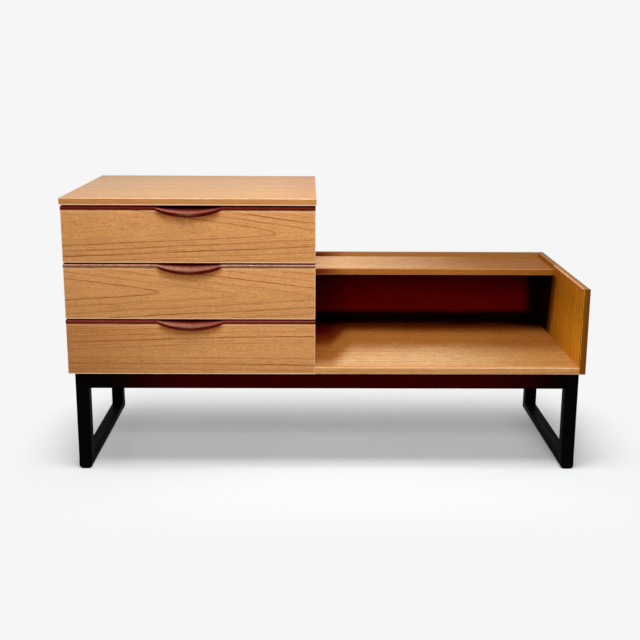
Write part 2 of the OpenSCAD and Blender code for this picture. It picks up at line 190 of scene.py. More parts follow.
class MaterialWeb(Web):
    """The web of a material, which starts from the object's own coordinates."""

    def __init__(self, name):
        super().__init__(bpy.data.materials.new(name))
        self.place = self.add("TexCoord").outputs["Object"]
        split = self.add("SeparateXYZ", {"Vector": self.place})
        self.axis = {axis: split.outputs[axis] for axis in "XYZ"}

    def finish(self, colour, rough, height, bump, depth=GRAIN_DEPTH, **shader):
        """Ends the web in one shader. Named numbers go straight on its sockets."""
        relief = self.add("Bump", {"Height": height, "Strength": bump, "Distance": depth})
        keys = {"Base Color": colour, "Roughness": rough, "Normal": relief.outputs["Normal"]}
        keys.update({key.replace("_", " "): value for key, value in shader.items()})
        principled = self.add("BsdfPrincipled", keys)
        self.add("OutputMaterial", {"Surface": principled.outputs["BSDF"]})
        return self.owner


# Wood
TEAK_GLOSS = 0.2
# For each noise: how far it is drawn out along the grain, its own shift, scale, detail, roughness
GRAIN_NOISE = {
    "bend": (0.12, 0.0, 11.0, 2.0, 0.5),
    "sweep": (0.3, 3.1, 4.0, 1.0, 0.5),
    "wobble": (0.3, 6.7, 60.0, 2.0, 0.5),
    "broken": (0.25, 1.7, 60.0, 3.0, 0.5),
    "fibre": (0.09, 5.3, 420.0, 4.0, 0.75),
    "ticks": (0.3, 4.1, 420.0, 2.0, 0.7),
    "pores": (0.03, 8.9, 950.0, 1.0, 0.5),
    "streaks": (0.05, 2.2, 38.0, 2.0, 0.5),
}
# How far each noise pushes the growth rings out of line, in metres
WARP = {"bend": 0.012, "sweep": 0.012, "wobble": 0.0028}
# A ring, from 0 to 1: its place at the apex, its dark line, and the shade that leads up to it
RING_AT_APEX, DARK_AT, SHADE_FROM, SHADE_TO, SHADE_SHARE = 0.6, 0.6, 0.1, 0.66, 0.1
# What keeps a ring from widening without end, and how far its line fades outwards
LEAST_SPREAD, LINE_SOFT_END = 0.02, 0.4
# Finer rings between: how many to a ring, their offset, line width, and share inside the apex
FINE_RINGS, FINE_OFFSET, FINE_WIDTH, FINE_CLEAR = 2.3, 0.3, 0.6, 0.4
SEED_SPREAD, FINE_SEED = 100, 50
# The ring count at which the ring at the apex ends
APEX_RING = 0.2, 0.4
# Steps of a noise: where a mark begins and where it is full, and for some the shares there
RING_CHANCE = 0.1, 0.9, 0.4, 1.0
LINE_BROKEN, FINE_BROKEN = (0.38, 0.6, 0.45, 1.0), (0.4, 0.6, 1.0, 0.1)
STREAK, CLOUD, FIBRE, PORE = (0.3, 0.7), (0.35, 0.65), (0.4, 0.68), (0.58, 0.72)
PALE_TICK, DARK_TICK = (0.52, 0.36), (0.48, 0.68)
ARRIS_PATCH = 0.35, 0.7, 0.5, 0.95
CLOUD_SHARE, CLOUD_SCALE, ARRIS_PATCH_SCALE = 0.22, 3.1, 60.0
# Detail and roughness of the noises for rubbed and tarnished patches
PATCHY = 3.0, 0.6
LIGHTER, DEEPER, PORE_DARK = (1.16, 1.16, 1.16), (0.84, 0.78, 0.7), (0.55, 0.55, 0.55)
# What lines and pores add to the height, and what lines and streaks add to the roughness
LINE_HEIGHT, PORE_HEIGHT = 0.5, -0.7
LINE_ROUGH, STREAK_ROUGH, ROUGH_STREAK = 0.07, (-0.03, 0.05), (0.2, 0.8)


def scaled(colour, shares):
    """A colour with its channels made lighter or deeper, each by its own share."""
    return tuple(min(1.0, c * share) for c, share in zip(colour, shares)) + (1.0,)


def ring_lines(web, count, spread, ring, width, seed):
    """Thin dark lines, one to each growth ring, some of them fainter than others. On the face a
    ring widens where it runs nearly level with it, but its dark line stays thin."""
    phase = web.math("FRACT", count)
    whole = web.plus(web.math("FLOOR", count), seed)
    chance = web.add("TexWhiteNoise", {"W": whole}, noise_dimensions="1D").outputs["Value"]
    off_line = web.math("DIVIDE", web.times(web.plus(phase, -DARK_AT), ring), spread)
    outer = web.step(off_line, 0.0, width * LINE_SOFT_END, 1.0, 0.0)
    mask = web.times(web.step(off_line, -width, 0.0), outer)
    return phase, web.times(mask, web.step(chance, *RING_CHANCE))


def wood(
    name, ground, line, grain="X", across="Z", depth="Y", heart=0.0, start=0.03, taper=0.045,
    apex=0.0, drift=0.0, ring=0.0095, line_width=0.0026, line_share=0.95, fine_share=0.4,
    fibre_share=0.3, pore_share=0.35, streak_share=0.35, rough=0.42, shift=0.0, worn_and_lit=None,
    tint=None, bump=0.25, clear_share=1.0, tick_share=0.3, streak_scale=None, **shader
):
    """Wood with growth rings, cut flat. heart is where the middle of the figure lies across the
    board, start the distance of the tree's middle behind the face, taper how fast the rings
    narrow along the grain, drift how far the figure climbs along it, apex a place along it where
    a ring closes in a point, and ring the width of a growth ring. Inside the ring at the apex the
    lines keep only clear_share."""
    web = MaterialWeb(name)

    def along_grain(kind, own_scale=None):
        """A noise that runs along the grain, because that direction is squeezed for it."""
        stretch, own_shift, scale, detail, roughness = GRAIN_NOISE[kind]
        squeezed = web.times(web.axis[grain], stretch)
        sides = [web.plus(web.axis[axis], shift + own_shift) for axis in (across, depth)]
        return web.noise(web.vector(squeezed, *sides), own_scale or scale, detail, roughness)

    # Growth rings
    g, side = web.plus(web.axis[grain], -apex), web.plus(web.axis[across], -heart)
    side = web.plus(side, web.times(g, drift))
    for kind, push in WARP.items():
        side = web.plus(side, web.times(web.plus(along_grain(kind), -0.5), push))
    radius = web.math("SQRT", web.plus(web.times(side, side), start ** 2))
    reach = web.plus(web.plus(radius, -start), web.times(g, taper))
    count = web.plus(web.math("DIVIDE", reach, ring), RING_AT_APEX)
    turn = web.math("DIVIDE", side, radius)
    least = (abs(taper) + LEAST_SPREAD) ** 2
    spread = web.math("SQRT", web.plus(web.times(turn, turn), least))
    seed = shift * SEED_SPREAD
    phase, late = ring_lines(web, count, spread, ring, line_width, seed)
    fine_count = web.plus(web.times(count, FINE_RINGS), FINE_OFFSET)
    fine_ring, fine_width = ring / FINE_RINGS, line_width * FINE_WIDTH
    fine = ring_lines(web, fine_count, spread, fine_ring, fine_width, seed + FINE_SEED)[1]

    # Some lines break off, and all are fainter inside the ring at the apex
    broken = along_grain("broken")
    late = web.times(late, web.step(broken, *LINE_BROKEN))
    late = web.times(late, web.step(count, *APEX_RING, clear_share, 1.0))
    fine = web.times(fine, web.step(broken, *FINE_BROKEN))
    fine_clear = FINE_CLEAR + (1 - FINE_CLEAR) * clear_share
    fine = web.times(fine, web.step(count, *APEX_RING, fine_clear, 1.0))
    late = web.math("MAXIMUM", late, web.times(fine, fine_share))
    shade = web.times(
        web.step(phase, SHADE_FROM, DARK_AT), web.step(phase, DARK_AT, SHADE_TO, 1.0, 0.0)
    )
    late = web.plus(late, web.times(shade, SHADE_SHARE))

    # Fibres, pores and clouds
    fibre, ticks = along_grain("fibre"), along_grain("ticks")
    pores = web.step(along_grain("pores"), *PORE)
    streaks = along_grain("streaks", streak_scale)
    cloud = web.noise(web.place, CLOUD_SCALE)
    light, deep, dark = scaled(ground, LIGHTER), scaled(ground, DEEPER), scaled(line, PORE_DARK)
    layers = [
        (streak_share, web.blend(web.step(streaks, *STREAK), deep, light)),
        (web.times(web.step(cloud, *CLOUD), CLOUD_SHARE), deep),
        (web.times(web.step(ticks, *PALE_TICK), tick_share), light),
        (web.times(web.step(ticks, *DARK_TICK), tick_share), deep),
        (web.times(late, line_share), line),
        (web.times(web.step(fibre, *FIBRE), fibre_share), line),
        (web.times(pores, pore_share), dark),
    ]
    colour = ground
    for share, over in layers:
        colour = web.blend(share, colour, over)
    if tint:
        colour = tint(web, colour)
    # Pale patches of wear and painted highlight, on the materials of eased arrises
    if worn_and_lit:
        arris_patch = web.noise(web.place, ARRIS_PATCH_SCALE, *PATCHY)
        colour = web.blend(web.step(arris_patch, *ARRIS_PATCH), colour, worn_and_lit)
    relief = web.plus(web.times(pores, PORE_HEIGHT), fibre)
    relief = web.plus(web.times(late, LINE_HEIGHT), relief)
    least, most = (rough + more for more in STREAK_ROUGH)
    roughness = web.step(streaks, *ROUGH_STREAK, least, most)
    roughness = web.plus(web.times(late, LINE_ROUGH), roughness)
    shader.setdefault("Specular_IOR_Level", TEAK_GLOSS)
    return web.finish(colour, roughness, relief, bump, **shader)


def stain_and_shade_factor(colour, ground):
    """What turns a ground into a colour when it is multiplied with it, so that the grain stays."""
    return tuple(c / g for c, g in zip(colour, ground))


def uneven(web, value, rag=0.05, scale=9.0, detail=3.0):
    """A value that a noise pushes up and down, so that a tint's edge isn't straight."""
    return web.plus(value, web.times(web.plus(web.noise(web.place, scale, detail), -0.5), rag))


def darkened(axis, low, high, colour, share, rag=0.05, ground=None):
    """A tint that runs in from low to high along an axis. Over a named ground it keeps the grain."""
    over, kind = (stain_and_shade_factor(colour, ground), "MULTIPLY") if ground else (colour, "MIX")

    def tint(web, before):
        at = uneven(web, web.axis[axis], rag)
        if low < high:
            return web.blend(web.step(at, low, high, 0.0, share), before, over, kind)
        return web.blend(web.step(at, high, low, share, 0.0), before, over, kind)
    return tint


def stained(colour, ground):
    """A tint that turns the whole of a ground into another colour."""
    def tint(web, before):
        return web.blend(1.0, before, stain_and_shade_factor(colour, ground), "MULTIPLY")
    return tint


def all_of(*tints):
    """Several tints as one, laid on in their order."""
    def tint(web, colour):
        for each in tints:
            colour = each(web, colour)
        return colour
    return tint


BAND_SOFT = 0.001


def band(axis, low, high, colour, share):
    """A thin band of another colour between two places along an axis, used for painted highlights
    along edges.
    """
    def tint(web, before):
        from_low = web.step(web.axis[axis], low - BAND_SOFT, low)
        to_high = web.step(web.axis[axis], high, high + BAND_SOFT, 1.0, 0.0)
        return web.blend(web.times(web.times(from_low, to_high), share), before, colour)
    return tint


FACE_DEPTH = 0.0015, 0.002


def on_face(axis, at, tint):
    """Keeps a tint to the one face of a board that lies at a place along an axis."""
    def kept(web, before):
        off = web.math("ABSOLUTE", web.plus(web.axis[axis], -at))
        return web.blend(web.step(off, *FACE_DEPTH, 1.0, 0.0), before, tint(web, before))
    return kept


# Painted shadow that each pull casts on its front below it
PULL_SHADOW = (0.48, 0.28, 0.02, 1.0)
PULL_SHADOW_SHARE, PULL_SHADOW_REACH = 0.95, 20 * MM
PULL_SHADOW_RAG = dict(rag=6 * MM, scale=90.0, detail=2.0)
# How far the pull has swelled where the painted shadow is full
PULL_SHADOW_GROWN = 0.5


def painted_pull_shadow(place):
    """Painted shadow: a dark fringe on the front, close under its pull, where the pull shades it."""
    low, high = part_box(place + "_drawer_pull")
    middle, foot = (low.x + high.x) / 2, high.z - STRIP_H

    def tint(web, before):
        t = web.times(web.plus(web.axis["X"], -middle), 2 / PULL_L)
        inner = web.math("MAXIMUM", web.plus(web.times(web.times(t, t), -1.0), 1.0), 0.0)
        grown = web.math("POWER", inner, SWELL_POWER)
        edge = web.plus(web.times(grown, -PULL_FOOT), foot)
        below = uneven(web, web.plus(edge, web.times(web.axis["Z"], -1.0)), **PULL_SHADOW_RAG)
        near = web.step(below, 0.0, PULL_SHADOW_REACH, PULL_SHADOW_SHARE, 0.0)
        share = web.times(near, web.step(grown, 0.0, PULL_SHADOW_GROWN))
        return web.blend(share, before, PULL_SHADOW, "MULTIPLY")
    return tint


# The painted shadow on the end panel under the shelf: how deep in its inner face it ends, how far
# below the shelf's underside it begins, and how far its edge leans back for each step down
END_SKIN = 0.4 * MM, 0.8 * MM
UNDER_SHELF = 2 * MM
END_LEAN = 0.25
# Colour, share, and where it begins and is full, measured from the shelf's front
END_SHADOW_TONES = (rgb(64, 12, 2), 0.8, -0.06, -0.02), (rgb(3, 1, 1), 0.97, -0.02, 0.01)


def shaded_inner_face(web, before):
    """Painted shadow: the inner face of the end panel is dark under the shelf."""
    low, high = (END_INNER_X + depth for depth in END_SKIN)
    inner = web.step(web.axis["X"], low, high, 1.0, 0.0)
    under = web.step(web.axis["Z"], SHELF_UNDER_Z, SHELF_UNDER_Z + UNDER_SHELF, 1.0, 0.0)
    place = web.times(inner, under)
    lean = web.times(web.plus(web.axis["Z"], -SHELF_UNDER_Z), END_LEAN)
    back = web.plus(web.axis["Y"], lean)
    for colour, share, begins, full in END_SHADOW_TONES:
        reach = web.step(back, SHELF_FRONT_Y + begins, SHELF_FRONT_Y + full, 0.0, share)
        before = web.blend(web.times(place, reach), before, colour)
    return before


# The deck's painted shade. Each pair of places is where a step begins and ends along X or Y.
DECK_FAR_END_SHADE, DECK_BROWN, DECK_DEEP = rgb(174, 118, 32), rgb(160, 103, 46), rgb(108, 46, 6)
DECK_RED, DECK_DARK, DECK_BLACK = rgb(66, 1, 2), rgb(44, 2, 3), rgb(8, 1, 1)
FAR_END_X, FAR_END_Y, FAR_END_SHARES = (0.22, 0.56), (-0.12, 0.08), (0.75, 0.15)
BROWN_Y, DEEP_Y, DARK_Y, BLACK_Y = (-0.165, 0.0), (0.06, 0.18), (0.175, 0.22), (0.2, 0.245)
RED_X, RED_Y, RED_SHARE = (0.0, 0.05), (-0.03, 0.11), 0.9
BESIDE_CHEST_X, BESIDE_END_X = (0.0, 0.07), (0.45, 0.58)
CHEST_REACH, CORNER_REACH = 0.16, 0.03


def deck_shade(web, before):
    """Painted shade on the deck: darker towards the back under the shelf, further forward beside the
    chest, and towards the right end.
    """
    x, y = web.axis["X"], uneven(web, web.axis["Y"])
    beside = web.step(x, *BESIDE_CHEST_X, 1.0, 0.0)
    forward = web.plus(y, web.times(beside, CHEST_REACH))
    corners = web.plus(beside, web.step(x, *BESIDE_END_X))
    rear = web.plus(y, web.times(corners, CORNER_REACH))
    far_end = web.times(web.step(x, *FAR_END_X), web.step(y, *FAR_END_Y, *FAR_END_SHARES))
    red = web.times(web.step(y, *RED_Y), web.step(x, *RED_X, RED_SHARE, 0.0))
    layers = [
        (far_end, stain_and_shade_factor(DECK_FAR_END_SHADE, DECK_GROUND), "MULTIPLY"),
        (web.step(forward, *BROWN_Y), stain_and_shade_factor(DECK_BROWN, DECK_GROUND), "MULTIPLY"),
        (web.step(forward, *DEEP_Y), stain_and_shade_factor(DECK_DEEP, DECK_BROWN), "MULTIPLY"),
        (red, DECK_RED, "MIX"),
        (web.step(rear, *DARK_Y), DECK_DARK, "MIX"),
        (web.step(rear, *BLACK_Y), DECK_BLACK, "MIX"),
    ]
    for share, colour, kind in layers:
        before = web.blend(share, before, colour, kind)
    return before


# Meshes
FLAT = 1e-5
SAME_POINT = 1e-6
SAME_PLANE = math.radians(0.4)
FACING, STRAIGHT = 0.999, 0.9999
SHARP_BOARD, SHARP_PULL = math.radians(50), math.radians(40)
ARRIS_SEGMENTS = 3


def clean_mesh(node):
    """A copy of a CAD node's mesh, with its flat faces made whole again."""
    bm = bmesh.new()
    bm.from_mesh(frame["nodes"][node].data)
    bmesh.ops.remove_doubles(bm, verts=bm.verts, dist=SAME_POINT)
    bmesh.ops.dissolve_limit(
        bm, angle_limit=SAME_PLANE, verts=bm.verts, edges=bm.edges, use_dissolve_boundaries=False
    )
    bm.normal_update()
    return bm


def open_side(face, low, high, sides):
    """Which of the box's named sides a face lies on, such as "+x", or None."""
    for i, axis in enumerate("xyz"):
        for sign, wall in (("-", low[i]), ("+", high[i])):
            if sign + axis in sides:
                facing = face.normal[i] * (1 if sign == "+" else -1) > FACING
                if facing and abs(face.verts[0].co[i] - wall) < FLAT:
                    return sign + axis
    return None


def drop_old_normals(mesh):
    """The imported normals belong to the uncut mesh, so the new one goes without them."""
    old = mesh.attributes.get("custom_normal")
    if old:
        mesh.attributes.remove(old)


def to_object(bm, name, materials, sharp=None):
    """Ends a mesh and makes it an object. Edges sharper than a given angle stay sharp."""
    mesh = bpy.data.meshes.new(name)
    bm.to_mesh(mesh)
    bm.free()
    drop_old_normals(mesh)
    for material in materials:
        mesh.materials.append(material)
    if sharp:
        mesh.set_sharp_from_angle(angle=sharp)
    obj = bpy.data.objects.new(name, mesh)
    bpy.context.scene.collection.objects.link(obj)
    return obj


def stand_for(node, obj):
    """The object rides on its CAD node's body and replaces the node."""
    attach(obj, frame["nodes"][node]["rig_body"])
    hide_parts(node)


def dress(node, sides, arris, material, arris_material=None):
    """Stands for a CAD board: the same solid, with the outer edges between its named sides eased.
    Slanted and rounded faces are smooth, and take the arris's material."""
    bm = clean_mesh(node)
    low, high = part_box(node)
    chosen = []
    for edge in bm.edges:
        if len(edge.link_faces) != 2:
            continue
        walls = [open_side(face, low, high, sides) for face in edge.link_faces]
        if walls[0] and walls[1] and walls[0][1] != walls[1][1]:
            chosen.append(edge)
    if chosen:
        bmesh.ops.bevel(
            bm, geom=chosen, offset=arris, offset_type="OFFSET", segments=ARRIS_SEGMENTS,
            profile=0.5, affect="EDGES", clamp_overlap=True
        )
    bm.normal_update()
    for face in bm.faces:
        face.smooth = max(abs(c) for c in face.normal) <= STRAIGHT
        face.material_index = int(face.smooth)
    materials = [material, arris_material or material]
    stand_for(node, to_object(bm, node + "_dressed", materials, SHARP_BOARD))


# Materials
TEAK_LINE = rgb(140, 64, 8)
TOP_GROUND = rgb(197, 152, 94)
FRONT_GROUND = rgb(215, 153, 91)
SOLID_GROUND = rgb(194, 136, 74)
END_GROUND = rgb(244, 168, 42)
DECK_GROUND = rgb(226, 184, 134)
SHELF_GROUND = rgb(230, 189, 144)
# Pale teak for wear and painted highlights on the arrises, and the width of the painted highlight
# bands on the fronts' edges
PALE_WEAR_AND_HIGHLIGHT = rgb(248, 208, 168)
HIGHLIGHT_BAND = 0.0022
LOW_BAND_SHARE, HIGH_BAND_SHARE = 0.8, 0.22

# Each front's own figure, and what the fronts share
fronts = {
    "top": dict(
        heart=0.5743, start=0.0085, taper=0.088, apex=-0.118, drift=0.043, ring=0.0130, shift=0.35
    ),
    "middle": dict(
        heart=0.4373, start=0.0085, taper=0.088, apex=-0.391, drift=0.036, ring=0.0158, shift=0.62
    ),
    "bottom": dict(heart=0.2940, start=0.012, taper=-0.011, apex=-1.06, ring=0.0125, shift=0.18),
}
front_figure = dict(
    clear_share=0.0, fibre_share=0.12, streak_share=0.25, tick_share=0.7, fine_share=0.6,
    line_width=0.003
)
# The bottom front is darker towards its left end
bottom_shade = darkened("X", -0.25, -0.62, rgb(150, 84, 10), 0.4)
front_wood, front_arris = {}, {}
for place, cut in fronts.items():
    low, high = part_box(place + "_drawer_front")
    foot = high.z - STRIP_H
    tints = [
        # Painted highlights along the front's lower and upper edges, and the painted shadow under its
        # pull
        band("Z", low.z, low.z + HIGHLIGHT_BAND, PALE_WEAR_AND_HIGHLIGHT, LOW_BAND_SHARE),
        band("Z", foot - HIGHLIGHT_BAND, foot, PALE_WEAR_AND_HIGHLIGHT, HIGH_BAND_SHARE),
        painted_pull_shadow(place),
    ]
    if place == "bottom":
        tints.insert(0, bottom_shade)
    cut = dict(cut, tint=on_face("Y", low.y, all_of(*tints)), **front_figure)
    front_wood[place] = wood("teak_front_" + place, FRONT_GROUND, TEAK_LINE, **cut)
    front_arris[place] = wood(
        "teak_front_arris_" + place, FRONT_GROUND, TEAK_LINE, worn_and_lit=PALE_WEAR_AND_HIGHLIGHT, **cut
    )

# Painted shade beside the chest, on the shelf's lipping and the back rail
shade_beside_chest = darkened("X", 0.08, -0.03, rgb(92, 22, 8), 0.9)
outer_half = darkened(
    "X", END_INNER_X + 0.006, END_INNER_X + 0.011, rgb(112, 86, 54), 0.85, rag=0.003
)
outer_edge = darkened(
    "X", END_INNER_X + 0.004, END_INNER_X + 0.015, rgb(84, 52, 22), 0.7, rag=0.004
)
top_shade = darkened("X", -0.14, -0.03, rgb(170, 105, 50), 0.4)
shelf_shade = darkened("X", -0.05, 0.5, rgb(150, 95, 31), 0.95, ground=SHELF_GROUND)
teak = {
    "top": dict(
        ground=TOP_GROUND, across="Y", depth="Z", heart=0.07, start=0.05, taper=0.03, ring=0.026,
        line_width=0.007, shift=0.9, streak_share=0.8, streak_scale=16.0, fibre_share=0.4,
        tick_share=0.9, tint=on_face("Z", TOP_Z, top_shade), Specular_IOR_Level=0.3
    ),
    "deck": dict(
        ground=DECK_GROUND, across="Y", depth="Z", heart=-0.02, start=0.05, taper=0.02, shift=1.3,
        ring=0.017, line_width=0.005, line_share=0.5, streak_share=0.6, streak_scale=18.0,
        fibre_share=0.4, tick_share=1.0, tint=on_face("Z", DECK_Z, deck_shade),
        Specular_IOR_Level=0.01
    ),
    "shelf": dict(
        ground=SHELF_GROUND, across="Y", depth="Z", heart=0.3, start=0.05, taper=0.02, shift=2.6,
        ring=0.022, line_width=0.006, line_share=0.6, streak_share=0.7, streak_scale=22.0,
        fibre_share=0.45, tick_share=1.0, tint=on_face("Z", SHELF_Z, shelf_shade),
        Specular_IOR_Level=0.01
    ),
    "end": dict(
        ground=FRONT_GROUND, grain="Z", across="Y", depth="X", heart=0.4, taper=0.01,
        ring=0.024, line_width=0.009, line_share=0.45, shift=0.4, streak_scale=30.0,
        streak_share=0.9, tick_share=1.0, fibre_share=0.4, pore_share=0.5, Specular_IOR_Level=0.05,
        tint=all_of(
            on_face("X", END_INNER_X, all_of(
                stained(END_GROUND, FRONT_GROUND),
                # Painted shade: the inner face darker towards the back and towards the top
                darkened("Y", -0.26, 0.08, rgb(140, 74, 0), 0.5, ground=END_GROUND),
                darkened("Z", 0.3, 0.42, rgb(140, 60, 0), 0.42, ground=END_GROUND)
            )),
            shaded_inner_face
        )
    ),
    "side": dict(
        ground=FRONT_GROUND, grain="Z", across="Y", depth="X", start=0.05, taper=0.05, shift=1.9
    ),
    "lip_y": dict(
        ground=SOLID_GROUND, across="Z", depth="Y", heart=0.3, start=0.07, taper=0.01, ring=0.006,
        line_share=0.35, shift=2.1,
        # Painted highlight along the lipping's lower edge
        tint=band("Z", TOP_LIP_Z, TOP_LIP_Z + HIGHLIGHT_BAND, rgb(236, 196, 158), LOW_BAND_SHARE)
    ),
    "lip_deck": dict(
        ground=rgb(208, 150, 90), across="Z", depth="Y", heart=0.3, start=0.07, taper=0.01,
        ring=0.006, line_share=0.35, shift=2.4, Specular_IOR_Level=0.08
    ),
    "lip_shelf": dict(
        ground=rgb(158, 102, 44), across="Z", depth="Y", heart=0.3, start=0.07, taper=0.01,
        ring=0.006, line_share=0.35, shift=2.7, Specular_IOR_Level=0.02,
        # Painted shade: the shelf's lipping darker towards its right end, and beside the chest
        tint=all_of(darkened("X", 0.3, 0.58, rgb(126, 72, 12), 0.6), shade_beside_chest)
    ),
    "lip_end": dict(
        ground=rgb(126, 74, 6), grain="Z", across="X", depth="Y", heart=0.5, start=0.05, taper=0.01,
        ring=0.006, line_share=0.35, shift=0.7, Specular_IOR_Level=0.02, tint=outer_edge
    ),
    "lip_end_top": dict(
        ground=rgb(188, 122, 60), grain="Y", across="X", depth="Z", heart=0.5, start=0.05, taper=0.01,
        ring=0.006, line_share=0.3, shift=1.1, Specular_IOR_Level=0.02, tint=outer_half
    ),
    "lip_end_rear": dict(
        ground=rgb(150, 98, 40), grain="Y", across="X", depth="Z", heart=0.5, start=0.05, taper=0.01,
        ring=0.006, line_share=0.3, shift=1.5, Specular_IOR_Level=0.02, tint=outer_half
    ),
    "back_rail": dict(
        ground=rgb(148, 106, 56), across="Z", depth="Y", heart=0.3, start=0.07, taper=0.01, ring=0.006,
        line_share=0.35, shift=3.3, tint=shade_beside_chest, Specular_IOR_Level=0.05
    ),
}
# The colours of pale wear and painted highlight on the boards' eased arrises, where they aren't as
# pale as elsewhere
ARRIS = {
    "lip_end": rgb(226, 150, 80), "lip_shelf": rgb(206, 146, 90), "back_rail": rgb(120, 66, 14),
    "lip_end_rear": rgb(120, 92, 52)
}
boards, arrises = {}, {}
for key, cut in teak.items():
    boards[key] = wood("teak_" + key, line=TEAK_LINE, **cut)
    arrises[key] = wood(
        "teak_arris_" + key, line=TEAK_LINE, worn_and_lit=ARRIS.get(key, PALE_WEAR_AND_HIGHLIGHT), **cut
    )

HARDWOOD = rgb(112, 6, 3)
HARDWOOD_LINE = rgb(44, 3, 2)
# The pulls' grip is painted pale for wear and for the light on its dish, and the depth of the hollow
# dark as painted shade
HARDWOOD_WORN_AND_LIT = rgb(160, 116, 92)
HARDWOOD_BARE_AND_LIT = rgb(226, 172, 136)
HARDWOOD_HOLLOW_SHADE = rgb(22, 3, 3)
PATCH_SCALE, PATCH = 120.0, (0.25, 0.75, 0.55, 1.0)


def grip_tint(web, colour):
    """Hands have rubbed the grip of a pull paler than its underside, and painted light makes its lit
    dish paler still. The value is above 1 where the wood is bare or most lit, and below 0 where
    painted shade darkens the depth of the hollow."""
    wear_and_shading = web.add("Attribute", attribute_name="grip_wear_and_light").outputs["Fac"]
    colour = web.blend(web.math("MAXIMUM", web.times(wear_and_shading, -1.0), 0.0), colour, HARDWOOD_HOLLOW_SHADE)
    patch = web.noise(web.place, PATCH_SCALE, *PATCHY)
    rubbed_and_lit = web.times(web.math("MAXIMUM", wear_and_shading, 0.0), web.step(patch, *PATCH))
    colour = web.blend(web.math("MINIMUM", rubbed_and_lit, 1.0), colour, HARDWOOD_WORN_AND_LIT)
    return web.blend(web.math("MAXIMUM", web.plus(rubbed_and_lit, -1.0), 0.0), colour, HARDWOOD_BARE_AND_LIT)


pull_wood = wood(
    "dark_hardwood", HARDWOOD, HARDWOOD_LINE, heart=0.4, start=0.02, taper=0.02, ring=0.003,
    line_share=0.6, rough=0.34, pore_share=0.5, shift=0.5, bump=0.15, tint=grip_tint,
    Specular_IOR_Level=0.05
)
ebony = dict(
    ground=rgb(5, 3, 3), line=rgb(2, 1, 1), across="X", heart=0.5, ring=0.005, line_share=0.4,
    rough=0.5, pore_share=0.3, bump=0.2, Specular_IOR_Level=0.01
)
black_wood = wood("ebonised_wood", grain="Z", depth="Y", **ebony)
black_wood_y = wood("ebonised_wood_lengthwise", grain="Y", depth="Z", **ebony)
RAIL_MIDDLE_X = 0.02
RAIL_BLACK = 0.3, 0.56


def rail_tint(web, colour):
    """The rail runs to black towards both ends."""
    reach = web.math("ABSOLUTE", web.plus(web.axis["X"], -RAIL_MIDDLE_X))
    return web.blend(web.step(reach, *RAIL_BLACK), colour, rgb(8, 4, 4))


rail_wood = wood(
    "stained_rail", rgb(60, 2, 2), rgb(24, 1, 1), heart=0.3, ring=0.005, line_share=0.4,
    rough=0.45, pore_share=0.3, tint=rail_tint, Specular_IOR_Level=0.0
)
BACK_GROUND = rgb(116, 62, 42)
back_wood = wood(
    "mahogany_back", BACK_GROUND, rgb(52, 18, 10), heart=0.3, ring=0.006, line_share=0.5,
    rough=0.45, pore_share=0.4, Specular_IOR_Level=0.0,
    tint=on_face("Y", BACK_Y, all_of(
        stained(rgb(104, 5, 5), BACK_GROUND),
        # Painted shade: darker beside the chest, beside the end panel and towards the deck
        darkened("X", 0.12, -0.03, rgb(12, 2, 2), 0.5),
        darkened("X", 0.555, 0.585, rgb(12, 2, 2), 0.97, rag=0.02),
        darkened("Z", 0.289, 0.270, rgb(8, 1, 1), 0.98, rag=0.008)
    ))
)
box_wood = {
    grain: wood(
        "pale_box_wood_" + grain, rgb(214, 184, 138), rgb(178, 138, 92), grain=grain,
        across="Z", depth="X" if grain == "Y" else "Y", heart=0.5, start=0.06, taper=0.02,
        ring=0.004, line_share=0.35, pore_share=0.15, streak_share=0.25, rough=0.55
    )
    for grain in "XY"
}
runner_wood = wood(
    "waxed_runner_wood", rgb(190, 150, 104), rgb(140, 98, 58), grain="Y", across="Z", depth="X",
    heart=0.5, ring=0.004, line_share=0.35, pore_share=0.2, rough=0.38
)
block_wood = wood(
    "block_wood", rgb(184, 144, 98), rgb(134, 92, 54), grain="Z", across="X", depth="Y",
    heart=0.5, ring=0.004, line_share=0.35, pore_share=0.2, rough=0.6
)
ply_wood = wood(
    "plywood_bottom", rgb(206, 172, 124), rgb(170, 126, 80), across="Y", depth="Z", heart=0.02,
    start=0.04, taper=0.05, ring=0.011, line_share=0.3, pore_share=0.15, rough=0.6
)
ply_back = wood(
    "plywood_back", rgb(196, 160, 112), rgb(158, 114, 70), grain="Z", across="X", depth="Y",
    heart=-0.3, start=0.05, taper=0.06, ring=0.012, line_share=0.35, pore_share=0.15, rough=0.62
)
dowel_wood = wood(
    "dowel_wood", rgb(214, 184, 140), rgb(176, 138, 94), grain="Z", across="X", depth="Y",
    heart=0.5, ring=0.003, line_share=0.3, pore_share=0.15, rough=0.6
)
TURNING_SCALE, TURNING, TURNING_DEPTH, TURNING_BUMP = 900.0, (0.3, 0.7), 0.00005, 0.2
TURNING_ROUGH = 0.2
TARNISH_SCALE, TARNISH = 140.0, (0.35, 0.7)


def screw_metal(name, bright, dull, rough):
    web = MaterialWeb(name)
    turned = web.noise(web.place, TURNING_SCALE)
    tarnish = web.noise(web.place, TARNISH_SCALE, *PATCHY)
    colour = web.blend(web.step(tarnish, *TARNISH), bright, dull)
    roughness = web.step(turned, *TURNING, rough, rough + TURNING_ROUGH)
    return web.finish(colour, roughness, turned, TURNING_BUMP, TURNING_DEPTH, Metallic=1.0)


steel = screw_metal("screw_steel", rgb(196, 197, 200), rgb(128, 126, 124), 0.28)
brass = screw_metal("screw_brass", rgb(206, 168, 92), rgb(140, 108, 56), 0.3)

